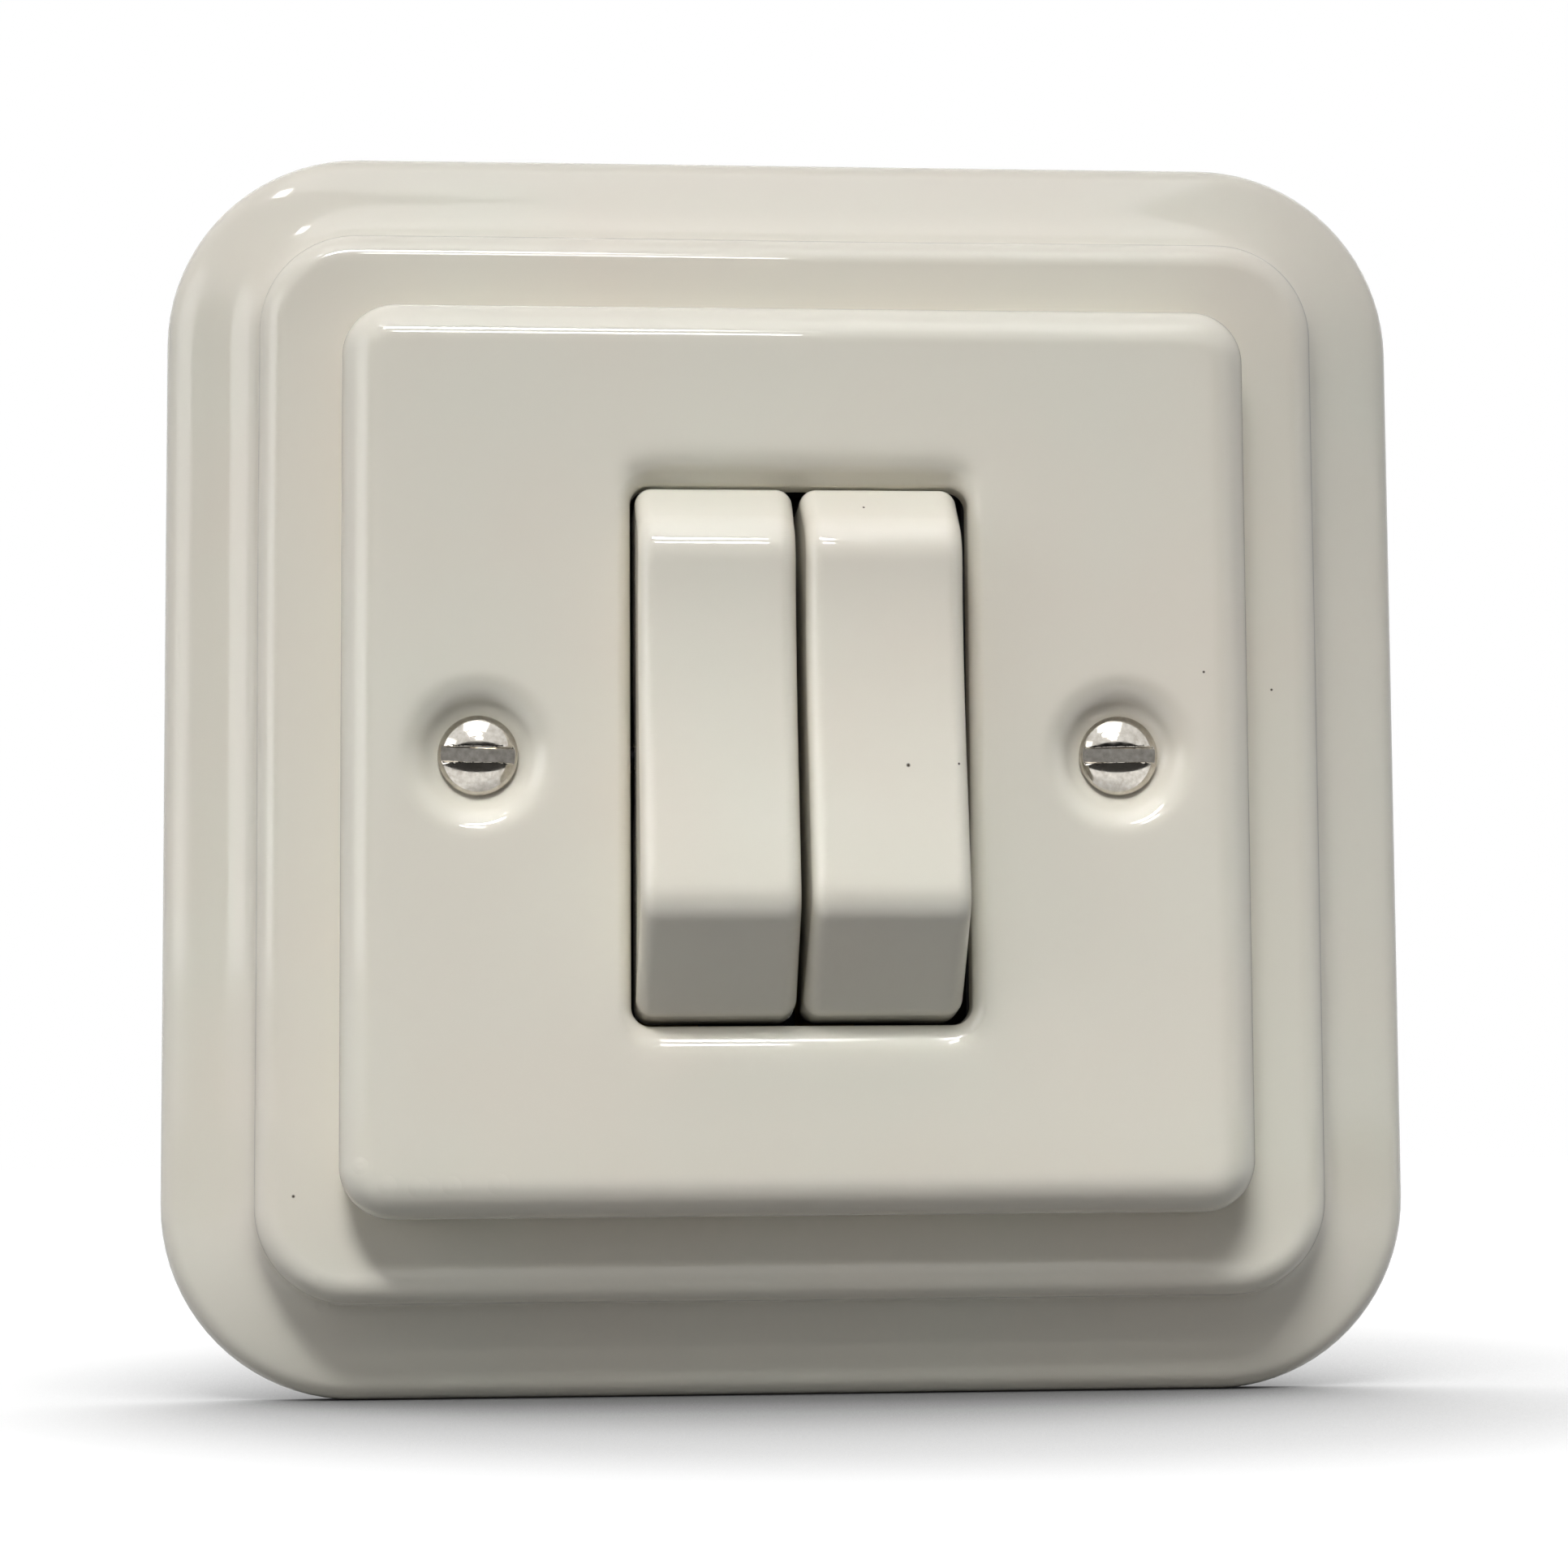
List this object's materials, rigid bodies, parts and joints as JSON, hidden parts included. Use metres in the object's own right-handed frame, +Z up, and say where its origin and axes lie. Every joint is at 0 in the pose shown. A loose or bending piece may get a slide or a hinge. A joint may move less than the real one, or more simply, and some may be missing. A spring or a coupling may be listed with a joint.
{
  "type": "light switch",
  "caption": "Square ceramic wall light switch: stepped surround, raised faceplate with slotted screws, side by side rockers and changeover contacts behind.",
  "frame": {"origin": "centre of the surround's flat back rim, in the plane of the wall", "axes": "+X to the viewer's right, +Y into the wall, +Z up; the rockers face -Y"},
  "size_m": [0.1216, 0.0484, 0.1216],
  "materials": {
    "glazed_ceramic": "clear glaze over off-white porcelain",
    "rocker_ceramic": "clear glaze over off-white porcelain",
    "nickel_plate": "nickel plated, lightly worn",
    "black_phenolic": "moulded phenolic, satin",
    "nylon": "moulded natural nylon",
    "steel": "ground steel",
    "spring_steel": "drawn spring wire",
    "brass": "turned brass",
    "silver_contact": "silver alloy",
    "zinc_plate": "bright zinc plated"
  },
  "bodies": {
    "base": {"surround": "glazed_ceramic", "faceplate": "glazed_ceramic", "plate_screws": "nickel_plate", "threaded_inserts": "brass", "housing_screws": "zinc_plate", "mechanism_housing": "black_phenolic", "pivot_pin": "steel", "fixed_contacts": "silver_contact", "terminal_screws": "zinc_plate", "common_terminal_left": "brass", "upper_terminal_left": "brass", "lower_terminal_left": "brass", "common_terminal_right": "brass", "upper_terminal_right": "brass", "lower_terminal_right": "brass"},
    "rocker_left": {"rocker_left": "rocker_ceramic", "rocker_carrier_left": "nylon", "plunger_spring_left": "spring_steel"},
    "plunger_left": {"plunger_left": "nylon"},
    "contact_lever_left": {"contact_lever_left": "brass", "moving_contacts_left": "silver_contact"},
    "rocker_right": {"rocker_right": "rocker_ceramic", "rocker_carrier_right": "nylon", "plunger_spring_right": "spring_steel"},
    "plunger_right": {"plunger_right": "nylon"},
    "contact_lever_right": {"contact_lever_right": "brass", "moving_contacts_right": "silver_contact"}
  },
  "joints": [
    {"name": "rocker_left_tilt", "type": "hinge", "parent": "base", "child": "rocker_left", "pos_m": [-0.00777, -0.0147, 0], "axis": [1, 0, 0], "range_deg": [0, 22]},
    {"name": "plunger_left_slide", "type": "slide", "parent": "rocker_left", "child": "plunger_left", "axis": [0, -0.9816, 0.1908], "range_m": [0, 0.0008], "stiffness_N_per_m": 200, "springref_m": -0.004, "deforming": ["plunger_spring_left"]},
    {"name": "lever_left_tilt", "type": "hinge", "parent": "base", "child": "contact_lever_left", "pos_m": [-0.00777, 0.003, 0], "axis": [1, 0, 0], "range_deg": [-12, 0]},
    {"name": "rocker_right_tilt", "type": "hinge", "parent": "base", "child": "rocker_right", "pos_m": [0.00777, -0.0147, 0], "axis": [1, 0, 0], "range_deg": [0, 22]},
    {"name": "plunger_right_slide", "type": "slide", "parent": "rocker_right", "child": "plunger_right", "axis": [0, -0.9816, 0.1908], "range_m": [0, 0.0008], "stiffness_N_per_m": 200, "springref_m": -0.004, "deforming": ["plunger_spring_right"]},
    {"name": "lever_right_tilt", "type": "hinge", "parent": "base", "child": "contact_lever_right", "pos_m": [0.00777, 0.003, 0], "axis": [1, 0, 0], "range_deg": [-12, 0]}
  ],
  "couplings": [
    {"joint": "lever_left_tilt", "follows": "rocker_left_tilt", "ratio": -0.545},
    {"joint": "lever_right_tilt", "follows": "rocker_right_tilt", "ratio": -0.545}
  ]
}
